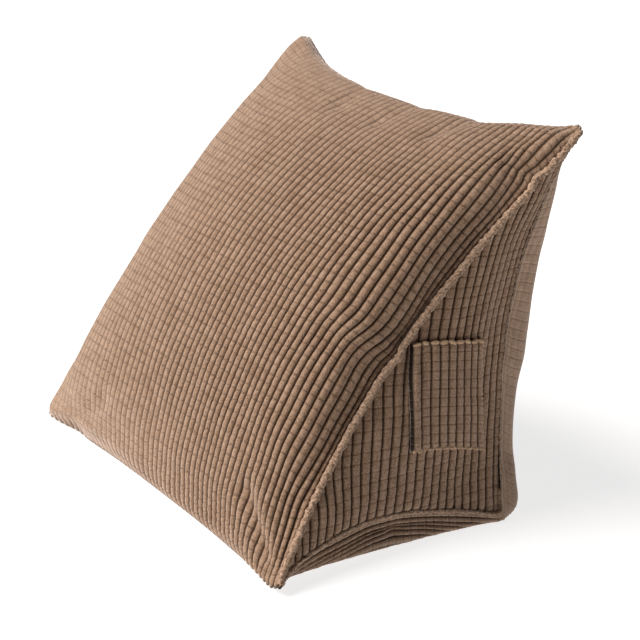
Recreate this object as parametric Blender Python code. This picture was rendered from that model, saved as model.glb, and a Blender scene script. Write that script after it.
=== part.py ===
"""Triangle wedge cushion in ribbed plush with a patch pocket on one end. Metres, +Z up.

The cushion stands on its base. X runs along its width, -Y is the thin toe, +Y the upright back.
One strip of cloth goes round it as base, back and slope, and a three-sided panel closes each end.
"""

import bmesh
import bpy
import numpy as np

# Driving dimensions of the cushion
WIDTH = 0.460
DEPTH = 0.300
HEIGHT = 0.434
APEX_LEAN = 0.040
EAR_LIFT = 0.010

# Cloth
RIBS_ACROSS = 53
RIBS_ON_PANEL = 28
RIB_GATHER = 0.1
RIB_DEPTH = 0.0022
SEAM_STRIP = 0.005
PANEL_SWELL = {1: 0.012, -1: 0.014}
FLAT_FADE = 0.006
CORNER_EASE = 0.030

# Patch pocket on the +X end. Each corner is a rib of the panel, counted from the toe, and a level, a
# share of the panel's height. Its mouth gapes a little over the first few of its own ribs.
POCKET_CORNERS = dict(low_mouth=(16.0, 0.179), high_mouth=(15.1, 0.485),
                      low_back=(25.4, 0.167), high_back=(23.7, 0.457))
POCKET_RIBS = 9
POCKET_THICK = 0.0024
POCKET_GAP = 0.0006
POCKET_GAPE = 0.0026
GAPE_RIBS = 3.0

# Powers that set how square each bulge is: 2 is a circle's, a high one is boxy with a sharp edge
PLUMP_SQUARE = 26
SOFT_SQUARE = 6
GROOVE_SQUARE = 24
SWELL_POWER, SINK_POWER, PULL_POWER, GROOVE_POWER = 0.8, 1.0, 0.9, 0.6
GAPE_POWER = 0.5
PANEL_POWER = 0.5
FAR_SWELL_AT, FAR_SWELL_POWER, FAR_EASE = 0.42, 0.465, 0.014
BACK_REACH = 3

# Steps of the mesh. Rows lie on each fold at these shares of its half length, and the first row on
# the flat lies FIRST_ROW half lengths from the corner.
FOLD_STEPS = (0.0, 0.35, 0.8)
FIRST_ROW = 1.4
STATION_PITCH = 0.042
PANEL_ROWS = 8
POCKET_ROWS = 8
SHORTEST_RIB = 4.0 * SEAM_STRIP
FINE = 161

BASE, BACK, SLOPE = 0, 1, 2
TOE, HEEL, APEX = 0, 1, 2
CORNERS = np.array([[0.0, EAR_LIFT], [DEPTH, EAR_LIFT], [DEPTH + APEX_LEAN, HEIGHT]])
LENGTHS = [np.linalg.norm(CORNERS[(k + 1) % 3] - CORNERS[k]) for k in range(3)]

# One row for each face of the strip, from its first corner to its second.
# pull: how far its two seams are drawn in along X, and at which share of the edge; far: share of that
# pull on the -X end; groove: how deep the seam sinks beside the swollen cloth; sink: how far the seam
# is drawn in towards the middle; swell: how far the middle of the face stands out; square and blunt:
# how boxy its cross-section is.
FACES = {
    BASE: dict(pull=0.004, pull_at=0.42, far=1.0, groove=0.012,
               sink=0.032, sink_at=0.42, swell=0.0, swell_at=0.5, square=14.0, blunt=0.5),
    BACK: dict(pull=0.024, pull_at=0.50, far=1.0, groove=0.012,
               sink=0.017, sink_at=0.66, swell=0.026, swell_at=0.20, square=7.0, blunt=0.52),
    SLOPE: dict(pull=0.040, pull_at=0.55, far=0.0, groove=0.006,
                sink=0.0, sink_at=0.5, swell=0.095, swell_at=0.435, square=3.9, blunt=0.60),
}

# One row for each fold that the strip makes at a corner of the triangle.
# recess: how far its middle draws back in Y and Z from the ears; near and far: how short the +X and
# -X ears are; soft and tip: half length of the fold at the middle and at the ears; plump: filling
# that rounds the fold outwards.
FOLDS = {
    TOE: dict(recess=(0.015, -0.010), near=3.0, far=3.0, soft=0.024, tip=0.006, plump=0.011),
    HEEL: dict(recess=(0.004, -0.010), near=5.0, far=4.0, soft=0.036, tip=0.012, plump=0.034),
    APEX: dict(recess=(-0.004, -0.0345), near=2.35, far=6.0, soft=0.030, tip=0.006, plump=0.016),
}


def hump(share, peak, power):
    """A bulge that is 0 at both ends of an edge and 1 at the share named peak."""
    bend = np.log(0.5) / np.log(peak)
    return np.sin(np.pi * np.clip(share, 0.0, 1.0) ** bend) ** power


def smooth_step(value):
    value = np.clip(value, 0.0, 1.0)
    return value * value * (3.0 - 2.0 * value)


def fold_corner(corner, across):
    """Where a corner of the triangle lies, in Y and Z, at a place across the width."""
    fold = FOLDS[corner]
    reach = np.abs(across)
    ear = reach ** np.where(across > 0, fold["near"], fold["far"])
    outward = CORNERS[corner] - CORNERS.mean(axis=0)
    outward = outward / np.linalg.norm(outward)
    stuffing = fold["plump"] * np.sqrt(1.0 - reach ** PLUMP_SQUARE)
    return (CORNERS[corner] + np.array(fold["recess"]) * (1.0 - ear)[..., None]
            + outward * stuffing[..., None])


def strip_point(face, across, share):
    """Point on the strip: across is -1 to 1 from seam to seam, share 0 to 1 along the face."""
    across, share = np.broadcast_arrays(np.asarray(across, float), np.asarray(share, float))
    reach = np.abs(across)
    corners = [fold_corner(k, across) for k in range(3)]
    ends = [(face + k) % 3 for k in (-1, 0, 1, 2)]
    before, start, end, after = [corners[k] for k in ends]
    run = (end - start) / LENGTHS[face]
    run_before = (start - before) / LENGTHS[ends[0]]
    run_after = (after - end) / LENGTHS[ends[2]]
    point = start + share[..., None] * (end - start)

    # Within its half length a fold is a parabola that meets the two straight runs without a kink
    turns = ((ends[1], share, run - run_before), (ends[2], 1.0 - share, run_after - run))
    for corner, away, turn in turns:
        fold = FOLDS[corner]
        soft = fold["tip"] + (fold["soft"] - fold["tip"]) * (1.0 - reach ** SOFT_SQUARE)
        inside = np.clip(soft - away * LENGTHS[face], 0.0, None)
        point = point + (inside ** 2 / (4.0 * soft))[..., None] * turn

    row = FACES[face]
    along = CORNERS[(face + 1) % 3] - CORNERS[face]
    outward = np.array([along[1], -along[0]]) / np.linalg.norm(along)
    crown = (1.0 - reach ** row["square"]) ** row["blunt"]
    swell, ease = hump(share, row["swell_at"], SWELL_POWER), CORNER_EASE
    if face == SLOPE:
        # Towards the far end the slope is stuffed fuller at its top and its foot
        far = smooth_step(-across)
        swell = swell + far * (hump(share, FAR_SWELL_AT, FAR_SWELL_POWER) - swell)
        ease = CORNER_EASE + far * (FAR_EASE - CORNER_EASE)
    corner_ease = smooth_step(np.minimum(share, 1.0 - share) * LENGTHS[face] / ease)
    lift = (row["swell"] * swell * corner_ease * crown
            - row["sink"] * hump(share, row["sink_at"], SINK_POWER) * (1.0 - crown))
    point = point + lift[..., None] * outward
    near_share = 0.5 + 0.5 * across
    pull = row["pull"] * (row["far"] + (1.0 - row["far"]) * near_share)
    x = across * (WIDTH / 2 - pull * hump(share, row["pull_at"], PULL_POWER))
    groove = row["groove"] * hump(share, 0.5, GROOVE_POWER) * reach ** GROOVE_SQUARE
    x = x - np.sign(across) * groove
    return np.stack([x, point[..., 0], np.maximum(point[..., 1], 0.0)], axis=-1)


def strip_stations():
    """Places round the strip, as pairs of face and share, closer together on the folds."""
    stations = []
    for face, length in enumerate(LENGTHS):
        first, last = FOLDS[face]["soft"], FOLDS[(face + 1) % 3]["soft"]
        rows = [step * first for step in FOLD_STEPS]
        start, end = FIRST_ROW * first, length - FIRST_ROW * last
        steps = round((length - first - last) / STATION_PITCH)
        rows += [start + (end - start) * k / steps for k in range(steps + 1)]
        rows += [length - step * last for step in reversed(FOLD_STEPS[1:])]
        stations += [(face, row / length) for row in rows]
    return stations


def ribbed_strip(stations):
    """Grid of points: a ring of stations, each with a groove and a crest for every rib."""
    columns = 2 * RIBS_ACROSS + 1
    fine = np.sin(np.linspace(-np.pi / 2, np.pi / 2, FINE))
    grid = np.zeros((len(stations), columns, 3))
    for row, (face, share) in enumerate(stations):
        line = strip_point(face, fine, share)
        steps = np.linalg.norm(np.diff(line, axis=0), axis=1)
        length = np.concatenate([[0.0], np.cumsum(steps)])
        across = np.interp(np.linspace(0.0, length[-1], columns), length, fine)
        grid[row] = strip_point(face, across, share)
    around = np.roll(grid, -1, axis=0) - np.roll(grid, 1, axis=0)
    over = np.gradient(grid, axis=1)
    normal = np.cross(over, around)
    normal /= np.linalg.norm(normal, axis=2, keepdims=True)
    depth = np.zeros(columns)
    depth[2:-1:2] = RIB_DEPTH
    fade = smooth_step(grid[..., 2] / FLAT_FADE)
    on_base = np.array([face == BASE for face, _ in stations])
    fade[~on_base] = 1.0
    grid -= normal * (depth * fade)[..., None]
    grid[..., 2] = np.maximum(grid[..., 2], 0.0)
    return grid


def panel_point(side, rib, rise):
    """Point on the end panel: rib is 0 at the toe and 1 at the back, rise goes up along the rib."""
    rib, rise = np.broadcast_arrays(np.asarray(rib, float), np.asarray(rise, float))
    foot = strip_point(BASE, side, rib)
    head = strip_point(SLOPE, side, 1.0 - rib)
    heel, apex = strip_point(BASE, side, 1.0), strip_point(SLOPE, side, 0.0)
    up = rise[..., None]
    back = strip_point(BACK, side, rise) - ((1.0 - up) * heel + up * apex)
    point = (1.0 - up) * foot + up * head + back * rib[..., None] ** BACK_REACH

    # The product of the three shares of the corners, scaled to be 1 in the middle of the triangle
    crown = 27.0 * (1.0 - rib) * rib * (1.0 - rise) * rib * rise
    point[..., 0] += side * PANEL_SWELL[side] * np.clip(crown, 0.0, None) ** PANEL_POWER
    return point


def gathered(count):
    """How far from toe to back a rib of the panel lies, as ribs are drawn together near the toe."""
    return count - RIB_GATHER * np.sin(np.pi * count) * (1.0 - count) ** 2


def panel_grid(side):
    """Grid of the end panel inside its seam, a groove and a crest for every rib, toe to back."""
    step = np.arange(2 * RIBS_ON_PANEL - 1)
    ribs = gathered(step / (2.0 * RIBS_ON_PANEL))
    depth = np.where(step % 2 == 0, RIB_DEPTH, 0.0)
    ribs[-1] = 1.0 - SEAM_STRIP / DEPTH
    length = np.linalg.norm(panel_point(side, ribs, 1.0) - panel_point(side, ribs, 0.0), axis=1)
    kept = length > SHORTEST_RIB
    ribs, length, depth = ribs[kept], length[kept], depth[kept]
    inset = (SEAM_STRIP / length)[:, None]
    rise = inset + (1.0 - 2.0 * inset) * np.linspace(0.0, 1.0, PANEL_ROWS + 1)
    grid = panel_point(side, ribs[:, None], rise)
    grid[..., 0] -= side * depth[:, None]
    return grid, ribs, rise


def add_grid(mesh, grid, closed, flip):
    """Adds a grid of points and its faces, and returns its vertices by row and column."""
    rows, columns = grid.shape[:2]
    verts = [[mesh.verts.new(grid[i, j]) for j in range(columns)] for i in range(rows)]
    for i in range(rows if closed else rows - 1):
        for j in range(columns - 1):
            k = (i + 1) % rows
            quad = [verts[i][j], verts[i][j + 1], verts[k][j + 1], verts[k][j]]
            mesh.faces.new(quad[::-1] if flip else quad)
    return verts


def zip_rings(mesh, outer, inner, flip):
    """Joins two rings with triangles. A ring is a list of place round the panel and vertex."""
    outer, inner = sorted(outer, key=lambda p: p[0]), sorted(inner, key=lambda p: p[0])
    outer.append((outer[0][0] + len(CORNERS), outer[0][1]))
    inner.append((inner[0][0] + len(CORNERS), inner[0][1]))
    a, b = 0, 0
    while a < len(outer) - 1 or b < len(inner) - 1:
        step_outer = b == len(inner) - 1 or (a < len(outer) - 1 and outer[a + 1][0] <= inner[b + 1][0])
        if step_outer:
            triangle = [outer[a][1], outer[a + 1][1], inner[b][1]]
            a += 1
        else:
            triangle = [outer[a][1], inner[b + 1][1], inner[b][1]]
            b += 1
        mesh.faces.new(triangle[::-1] if flip else triangle)


def close_end(mesh, side, seam, stations):
    """Closes one end of the strip with its ribbed panel and the stitched strip round it."""
    grid, ribs, rise = panel_grid(side)
    flip = side < 0
    verts = add_grid(mesh, grid, False, flip)
    outer = [(face + share, vert) for (face, share), vert in zip(stations, seam)]
    inner = [(BASE + rib, column[0]) for rib, column in zip(ribs, verts)]
    inner += [(BACK + up, vert) for up, vert in zip(rise[-1][1:-1], verts[-1][1:-1])]
    inner += [(SLOPE + 1.0 - rib, column[-1]) for rib, column in zip(ribs, verts)]
    first = verts[0][1:-1]
    spread = np.linspace(ribs[0], -ribs[0], PANEL_ROWS + 1)[1:-1]
    inner += [(value % len(CORNERS), vert) for value, vert in zip(spread, first)]
    zip_rings(mesh, outer, inner, flip)


def fabric(name, colour, roughness):
    material = bpy.data.materials.new(name)
    material.use_nodes = True
    shader = material.node_tree.nodes["Principled BSDF"]
    shader.inputs["Base Color"].default_value = (*colour, 1.0)
    shader.inputs["Roughness"].default_value = roughness
    shader.inputs["Metallic"].default_value = 0.0
    return material


def finish(mesh, name, material):
    """Turns a bmesh into an object of triangles with its faces pointing out."""
    bmesh.ops.recalc_face_normals(mesh, faces=mesh.faces)
    bmesh.ops.triangulate(mesh, faces=mesh.faces)
    data = bpy.data.meshes.new(name)
    mesh.to_mesh(data)
    mesh.free()
    data.shade_smooth()
    data.materials.append(material)
    body = bpy.data.objects.new(name, data)
    bpy.context.collection.objects.link(body)
    return body


def make_cushion():
    mesh = bmesh.new()
    stations = strip_stations()
    strip = add_grid(mesh, ribbed_strip(stations), True, False)
    close_end(mesh, 1, [row[-1] for row in strip], stations)
    close_end(mesh, -1, [row[0] for row in strip], stations)
    return finish(mesh, "cushion", fabric("ribbed_plush", (0.36, 0.24, 0.17), 0.9))


def make_pocket():
    """Patch of the same cloth, ribs upright, stitched on three sides and open towards the toe."""
    corners = {name: np.array(corner) for name, corner in POCKET_CORNERS.items()}
    steps = 2 * POCKET_RIBS
    across = np.linspace(0.0, 1.0, steps + 1)[:, None, None]
    up = np.linspace(0.0, 1.0, POCKET_ROWS + 1)[None, :, None]
    low = (1.0 - across) * corners["low_mouth"] + across * corners["low_back"]
    high = (1.0 - across) * corners["high_mouth"] + across * corners["high_back"]
    place = (1.0 - up) * low + up * high
    rib = gathered(place[..., 0] / RIBS_ON_PANEL)
    under = panel_point(1, rib, place[..., 1] / rib)
    gape = POCKET_GAPE * (1.0 - smooth_step(across * POCKET_RIBS / GAPE_RIBS))
    under[..., 0] += POCKET_GAP + (gape * hump(up, 0.5, GAPE_POWER))[..., 0]
    over = under.copy()
    crest = np.where(np.arange(steps + 1) % 2 == 1, RIB_DEPTH, 0.0)
    over[..., 0] += POCKET_THICK + crest[:, None]
    mesh = bmesh.new()
    top = add_grid(mesh, over, False, False)
    bottom = add_grid(mesh, under, False, True)

    def edge(verts):
        """The vertices round the rim of a grid, in order."""
        columns = [column[0] for column in verts] + verts[-1][1:]
        return columns + [column[-1] for column in verts[-2::-1]] + verts[0][-2:0:-1]

    upper, lower = edge(top), edge(bottom)
    for k in range(len(upper)):
        n = (k + 1) % len(upper)
        mesh.faces.new([upper[k], lower[k], lower[n], upper[n]])
    return finish(mesh, "pocket", fabric("ribbed_plush_pocket", (0.34, 0.23, 0.16), 0.9))


def centre(pieces):
    """Moves the mesh of every piece so that the whole box is centred over the origin."""
    points = np.array([vert.co for piece in pieces for vert in piece.data.vertices])
    low, high = points.min(axis=0), points.max(axis=0)
    shift = (-(low[0] + high[0]) / 2, -(low[1] + high[1]) / 2, -low[2])
    for piece in pieces:
        for vert in piece.data.vertices:
            vert.co = [vert.co[k] + shift[k] for k in range(3)]
    print("box", (high - low).round(4), "shift", np.round(shift, 4))


def main():
    for old in list(bpy.data.objects):
        bpy.data.objects.remove(old)
    cushion, pocket = make_cushion(), make_pocket()
    centre([cushion, pocket])
    for piece in (cushion, pocket):
        print(piece.name, len(piece.data.polygons), "triangles")


main()
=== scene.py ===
# %% [markdown]
# # A triangle cushion in ribbed plush
#
# A wedge for leaning the back on, sewn from chunky ribbed plush and filled with loose fibre. The steps
# follow the maker: first the filled form, then how the filling creases it, then the ribs and kernels of the
# cloth, the rolled seams, the patch pocket with its stitches, and last the finish of the cloth and the light.

# %% Load the frame
import math

import bmesh
import bpy
import numpy as np
from mathutils import Matrix, noise


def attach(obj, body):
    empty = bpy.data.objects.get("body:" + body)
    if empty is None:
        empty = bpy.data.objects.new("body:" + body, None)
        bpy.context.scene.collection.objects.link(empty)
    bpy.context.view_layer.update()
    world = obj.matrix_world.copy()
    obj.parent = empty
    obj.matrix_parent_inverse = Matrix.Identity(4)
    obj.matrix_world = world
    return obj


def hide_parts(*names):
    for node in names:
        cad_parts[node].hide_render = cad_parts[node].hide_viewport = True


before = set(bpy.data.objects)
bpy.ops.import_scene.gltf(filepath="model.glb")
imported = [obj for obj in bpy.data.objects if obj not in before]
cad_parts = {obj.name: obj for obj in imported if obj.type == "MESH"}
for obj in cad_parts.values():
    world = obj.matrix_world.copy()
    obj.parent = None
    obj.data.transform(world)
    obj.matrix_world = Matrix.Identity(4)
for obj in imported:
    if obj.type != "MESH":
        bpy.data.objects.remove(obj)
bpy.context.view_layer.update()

# %% [markdown]
# ## The camera
#
# The photograph looks down on the corner between the slope and the end with the pocket, with a long lens
# and the camera a little tilted. The place and the three directions below were fitted to the five corners of
# the cushion in the picture. A camera could be aimed with a Track To constraint, but a matrix says exactly
# where its right, up and backward directions point, and stays as it is.

# %% Camera
CAMERA_AT = (1.2414, -0.9762, 0.782)
CAMERA_RIGHT = (0.6068, 0.7909, 0.0797)
CAMERA_UP = (-0.3291, 0.1587, 0.9309)
CAMERA_BACK = (0.7235, -0.5911, 0.3566)
LENS_MM = 86.33


def in_scene(name, data):
    """A new object that carries the data and stands in the scene."""
    thing = bpy.data.objects.new(name, data)
    bpy.context.collection.objects.link(thing)
    return thing


camera_data = bpy.data.cameras.new("camera")
camera_data.lens = LENS_MM
camera_data.sensor_width = 36.0
camera_data.clip_end = 50.0
camera = in_scene("camera", camera_data)
directions = [(*axis, 0.0) for axis in (CAMERA_RIGHT, CAMERA_UP, CAMERA_BACK)]
camera.matrix_world = Matrix([*directions, (*CAMERA_AT, 1.0)]).transposed()
bpy.context.scene.camera = camera
print("camera", round(math.dist(CAMERA_AT, (0.0, 0.0, 0.2)), 3), "m from the cushion")

# %% [markdown]
# ## The filled form
#
# One strip of cloth goes round the wedge as base, back and slope, and a three-sided panel closes each end.
# The filling pushes the middle of each face out, and the sewn edges are drawn in between the corners, which
# stay behind as pinched ears. A cushion could be blown up from flat cloth alone, but then its outline is a
# matter of luck. Here each face is a formula with a few named sizes, the same that the solids are built
# from, so the form stays true and every later step knows where it is on the cloth.

# %% Sizes of the form
# In metres, from corner to corner
WIDTH = 0.460
DEPTH = 0.300
HEIGHT = 0.434
APEX_LEAN = 0.040
EAR_LIFT = 0.010
TOE_Y = -0.1735
PANEL_SWELL = {1: 0.012, -1: 0.014}
CORNER_EASE = 0.030
PLUMP_SQUARE = 26
SOFT_SQUARE = 6
GROOVE_SQUARE = 24
SWELL_POWER, SINK_POWER, PULL_POWER, GROOVE_POWER = 0.8, 1.0, 0.9, 0.6
PANEL_POWER = 0.5
FAR_SWELL_AT, FAR_SWELL_POWER, FAR_EASE = 0.42, 0.465, 0.014
BACK_REACH = 3

BASE, BACK, SLOPE = 0, 1, 2
TOE, HEEL, APEX = 0, 1, 2
CORNERS = np.array([[TOE_Y, EAR_LIFT], [TOE_Y + DEPTH, EAR_LIFT], [TOE_Y + DEPTH + APEX_LEAN, HEIGHT]])
LENGTHS = [np.linalg.norm(CORNERS[(k + 1) % 3] - CORNERS[k]) for k in range(3)]

# pull: how far the seams are drawn in along X; far: share of it on the far end; groove: how deep the seam
# sinks beside the swollen cloth; sink: how far the seam is drawn in towards the middle; swell: how far the
# middle stands out; square and blunt: how boxy the cross-section is
FACES = {
    BASE: dict(pull=0.004, pull_at=0.42, far=1.0, groove=0.012,
               sink=0.032, sink_at=0.42, swell=0.0, swell_at=0.5, square=14.0, blunt=0.5),
    BACK: dict(pull=0.024, pull_at=0.50, far=1.0, groove=0.012,
               sink=0.017, sink_at=0.66, swell=0.026, swell_at=0.20, square=7.0, blunt=0.52),
    SLOPE: dict(pull=0.040, pull_at=0.55, far=0.0, groove=0.006,
                sink=0.0, sink_at=0.5, swell=0.095, swell_at=0.435, square=3.9, blunt=0.60),
}

# recess: how far the middle of a fold draws back in Y and Z from the ears; near and far: how short the ears
# are; soft and tip: half length of the fold at the middle and at the ears; plump: filling behind the fold
FOLDS = {
    TOE: dict(recess=(0.015, -0.010), near=3.0, far=3.0, soft=0.024, tip=0.006, plump=0.011),
    HEEL: dict(recess=(0.004, -0.010), near=5.0, far=4.0, soft=0.036, tip=0.012, plump=0.034),
    APEX: dict(recess=(-0.004, -0.0345), near=2.35, far=6.0, soft=0.030, tip=0.006, plump=0.016),
}

# %% Points on the form


def hump(share, peak, power):
    """A bulge that is 0 at both ends of an edge and 1 at the share named peak."""
    bend = np.log(0.5) / np.log(peak)
    return np.sin(np.pi * np.clip(share, 0.0, 1.0) ** bend) ** power


def smooth_step(value):
    """0 below 0 and 1 above 1, with a soft start and end between them."""
    value = np.clip(value, 0.0, 1.0)
    return value * value * (3.0 - 2.0 * value)


def fold_corner(corner, across):
    """Where a corner of the triangle lies, in Y and Z, at a place across the width."""
    fold = FOLDS[corner]
    reach = np.abs(across)
    ear = reach ** np.where(across > 0, fold["near"], fold["far"])
    outward = CORNERS[corner] - CORNERS.mean(axis=0)
    outward = outward / np.linalg.norm(outward)
    stuffing = fold["plump"] * np.sqrt(1.0 - reach ** PLUMP_SQUARE)
    return (CORNERS[corner] + np.array(fold["recess"]) * (1.0 - ear)[..., None]
            + outward * stuffing[..., None])


def strip_point(face, across, share):
    """Point on the strip: across is -1 to 1 from seam to seam, share 0 to 1 along the face."""
    across, share = np.broadcast_arrays(np.asarray(across, float), np.asarray(share, float))
    reach = np.abs(across)
    corners = [fold_corner(k, across) for k in range(3)]
    ends = [(face + k) % 3 for k in (-1, 0, 1, 2)]
    before, start, end, after = [corners[k] for k in ends]
    run = (end - start) / LENGTHS[face]
    run_before = (start - before) / LENGTHS[ends[0]]
    run_after = (after - end) / LENGTHS[ends[2]]
    point = start + share[..., None] * (end - start)

    # Within its half length a fold is a parabola that meets the two straight runs without a kink
    turns = ((ends[1], share, run - run_before), (ends[2], 1.0 - share, run_after - run))
    for corner, away, turn in turns:
        fold = FOLDS[corner]
        soft = fold["tip"] + (fold["soft"] - fold["tip"]) * (1.0 - reach ** SOFT_SQUARE)
        inside = np.clip(soft - away * LENGTHS[face], 0.0, None)
        point = point + (inside ** 2 / (4.0 * soft))[..., None] * turn

    row = FACES[face]
    along = CORNERS[(face + 1) % 3] - CORNERS[face]
    outward = np.array([along[1], -along[0]]) / np.linalg.norm(along)
    crown = (1.0 - reach ** row["square"]) ** row["blunt"]
    swell, ease = hump(share, row["swell_at"], SWELL_POWER), CORNER_EASE
    if face == SLOPE:
        # Towards the far end the slope is stuffed fuller at its top and its foot
        far = smooth_step(-across)
        swell = swell + far * (hump(share, FAR_SWELL_AT, FAR_SWELL_POWER) - swell)
        ease = CORNER_EASE + far * (FAR_EASE - CORNER_EASE)
    corner_ease = smooth_step(np.minimum(share, 1.0 - share) * LENGTHS[face] / ease)
    lift = (row["swell"] * swell * corner_ease * crown
            - row["sink"] * hump(share, row["sink_at"], SINK_POWER) * (1.0 - crown))
    point = point + lift[..., None] * outward
    near_share = 0.5 + 0.5 * across
    pull = row["pull"] * (row["far"] + (1.0 - row["far"]) * near_share)
    x = across * (WIDTH / 2 - pull * hump(share, row["pull_at"], PULL_POWER))
    groove = row["groove"] * hump(share, 0.5, GROOVE_POWER) * reach ** GROOVE_SQUARE
    x = x - np.sign(across) * groove
    return np.stack([x, point[..., 0], np.maximum(point[..., 1], 0.0)], axis=-1)


def panel_point(side, rib, rise):
    """Point on the end panel: rib is 0 at the toe and 1 at the back, rise goes up along the rib."""
    rib, rise = np.broadcast_arrays(np.asarray(rib, float), np.asarray(rise, float))
    foot = strip_point(BASE, side, rib)
    head = strip_point(SLOPE, side, 1.0 - rib)
    heel, apex = strip_point(BASE, side, 1.0), strip_point(SLOPE, side, 0.0)
    up = rise[..., None]
    back = strip_point(BACK, side, rise) - ((1.0 - up) * heel + up * apex)
    point = (1.0 - up) * foot + up * head + back * rib[..., None] ** BACK_REACH

    # The product of the three shares of the corners, scaled to be 1 in the middle of the triangle
    crown = 27.0 * (1.0 - rib) * rib * (1.0 - rise) * rib * rise
    point[..., 0] += side * PANEL_SWELL[side] * np.clip(crown, 0.0, None) ** PANEL_POWER
    return point


print("faces of the strip, metres:", [round(float(length), 3) for length in LENGTHS])

# %% [markdown]
# ## The cloth: ribs and kernels
#
# Chunky ribbed plush has soft rolls of pile about a centimetre wide with narrow grooves between them, and
# fine creases across each roll cut it into kernels. Both are laid out on the form before anything is
# modelled: a row of points for every half kernel round the strip, and six points across every rib. The ribs
# run round the cushion and are the same length apart in the cloth, so they crowd together where a seam is
# drawn in.

# %% Lay the strip out
RIBS_ACROSS = 53
RIBS_ON_PANEL = 28
RIB_GATHER = 0.1
KERNEL = 0.0105
PHASES = np.array([0.0, 0.11, 0.27, 0.5, 0.73, 0.89])
FINE = 161
HELD_BY_SEAM = 0.05

# Where ribs wander sideways from an even spacing. A row gives face plus share, place across the cloth, reach
# of the bend before it, behind it and across, and by how many ribs it shifts them towards the pocket's end.
DRIFTS = [
    (2.500, 0.92, 0.15, 0.045, 0.11, 0.50),
    (2.490, 0.98, 0.07, 0.030, 0.05, 0.90),
    (2.570, 0.92, 0.04, 0.150, 0.12, -0.45),
    (2.910, 0.86, 0.06, 0.030, 0.06, 0.25),
    (2.085, 0.94, 0.04, 0.060, 0.05, -0.35),
    (2.180, 0.95, 0.05, 0.080, 0.05, 0.30),
    (2.300, 0.60, 0.12, 0.120, 0.12, 0.35),
    (2.750, 0.35, 0.10, 0.100, 0.15, -0.40),
    (0.500, 0.90, 0.34, 0.340, 0.06, 2.0),
]


def ring_places():
    """Face plus share of each row round the strip, two rows for each kernel, evenly spaced."""
    fine = np.arange(0.0, 1.0, 1.0 / 400)
    line = np.concatenate([strip_point(face, 0.0, fine) for face in (BASE, BACK, SLOPE)])
    length = np.concatenate([[0.0], np.cumsum(np.linalg.norm(np.roll(line, -1, axis=0) - line, axis=1))])
    count = 2 * round(length[-1] / KERNEL)
    at = np.linspace(0.0, length[-1], count, endpoint=False)
    return np.interp(at, length, np.linspace(0.0, 3.0, len(length)))


def strip_grid(places, cloth):
    """Points of the strip for rows of places and columns of shares of the cloth from seam to seam."""
    fine = np.sin(np.linspace(-np.pi / 2, np.pi / 2, FINE))
    grid = np.zeros((len(places), len(cloth), 3))
    seam_hold = np.clip(np.minimum(cloth, 1 - cloth) / HELD_BY_SEAM, 0, 1)
    for row, place in enumerate(places):
        face = int(place)
        line = strip_point(face, fine, place - face)
        length = np.concatenate([[0.0], np.cumsum(np.linalg.norm(np.diff(line, axis=0), axis=1))])
        wander = np.zeros(len(cloth))
        for centre, middle, before, behind, wide, shift in DRIFTS:
            gap = (place - centre + 1.5) % 3.0 - 1.5
            reach = before if gap < 0 else behind
            near = np.exp(-(gap / reach) ** 2 - ((cloth - middle) / wide) ** 2)
            wander += shift / RIBS_ACROSS * near * seam_hold
        across = np.interp((cloth + wander) * length[-1], length, fine)
        grid[row] = strip_point(face, across, place - face)
    return grid


def gathered(count):
    """How far from toe to back a rib of the panel lies, as ribs are drawn together near the toe."""
    return count - RIB_GATHER * np.sin(np.pi * count) * (1.0 - count) ** 2


places = ring_places()
cloth = np.append((np.arange(RIBS_ACROSS)[:, None] + PHASES).ravel(), RIBS_ACROSS) / RIBS_ACROSS
strip = strip_grid(places, cloth)
print("rows round the strip", len(places), "columns", len(cloth))

# %% [markdown]
# ## Letting the filling settle
#
# Where a full cushion is sewn, there is more cloth than the drawn-in seam has room for, and it buckles into
# small soft creases that run away from the seam. Blender's cloth simulation finds them: the cloth is made a
# few per cent larger, held along its seams and underneath, and blown up from inside. The form already has
# its swell, so only a band of the movement is kept: what a few blurs leave, less what many leave. That takes
# away the jitter of single points and the broad swell, and keeps the creases between the two.

# %% Cloth simulation
SETTLE_FRAMES = 20
SETTLE_CAP = 0.022
SPARE_CLOTH = 0.035
LOOSE_WEIGHT = 0.02
FEW_BLURS = 3
MANY_BLURS = 12


def grid_faces(index, closed):
    """Faces of four between neighbouring rows and columns of numbered points."""
    above, below = (index, np.roll(index, -1, axis=0)) if closed else (index[:-1], index[1:])
    return np.stack([above[:, :-1], above[:, 1:], below[:, 1:], below[:, :-1]], axis=-1).reshape(-1, 4)


def blurred(grid, passes, closed):
    """The grid averaged with its neighbours along both directions, its borders kept."""
    for _ in range(passes):
        if closed:
            rows = 0.25 * np.roll(grid, 1, axis=0) + 0.5 * grid + 0.25 * np.roll(grid, -1, axis=0)
        else:
            rows = grid.copy()
            rows[1:-1] = 0.25 * grid[:-2] + 0.5 * grid[1:-1] + 0.25 * grid[2:]
        grid = rows.copy()
        grid[:, 1:-1] = 0.25 * rows[:, :-2] + 0.5 * rows[:, 1:-1] + 0.25 * rows[:, 2:]
    return grid


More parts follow.
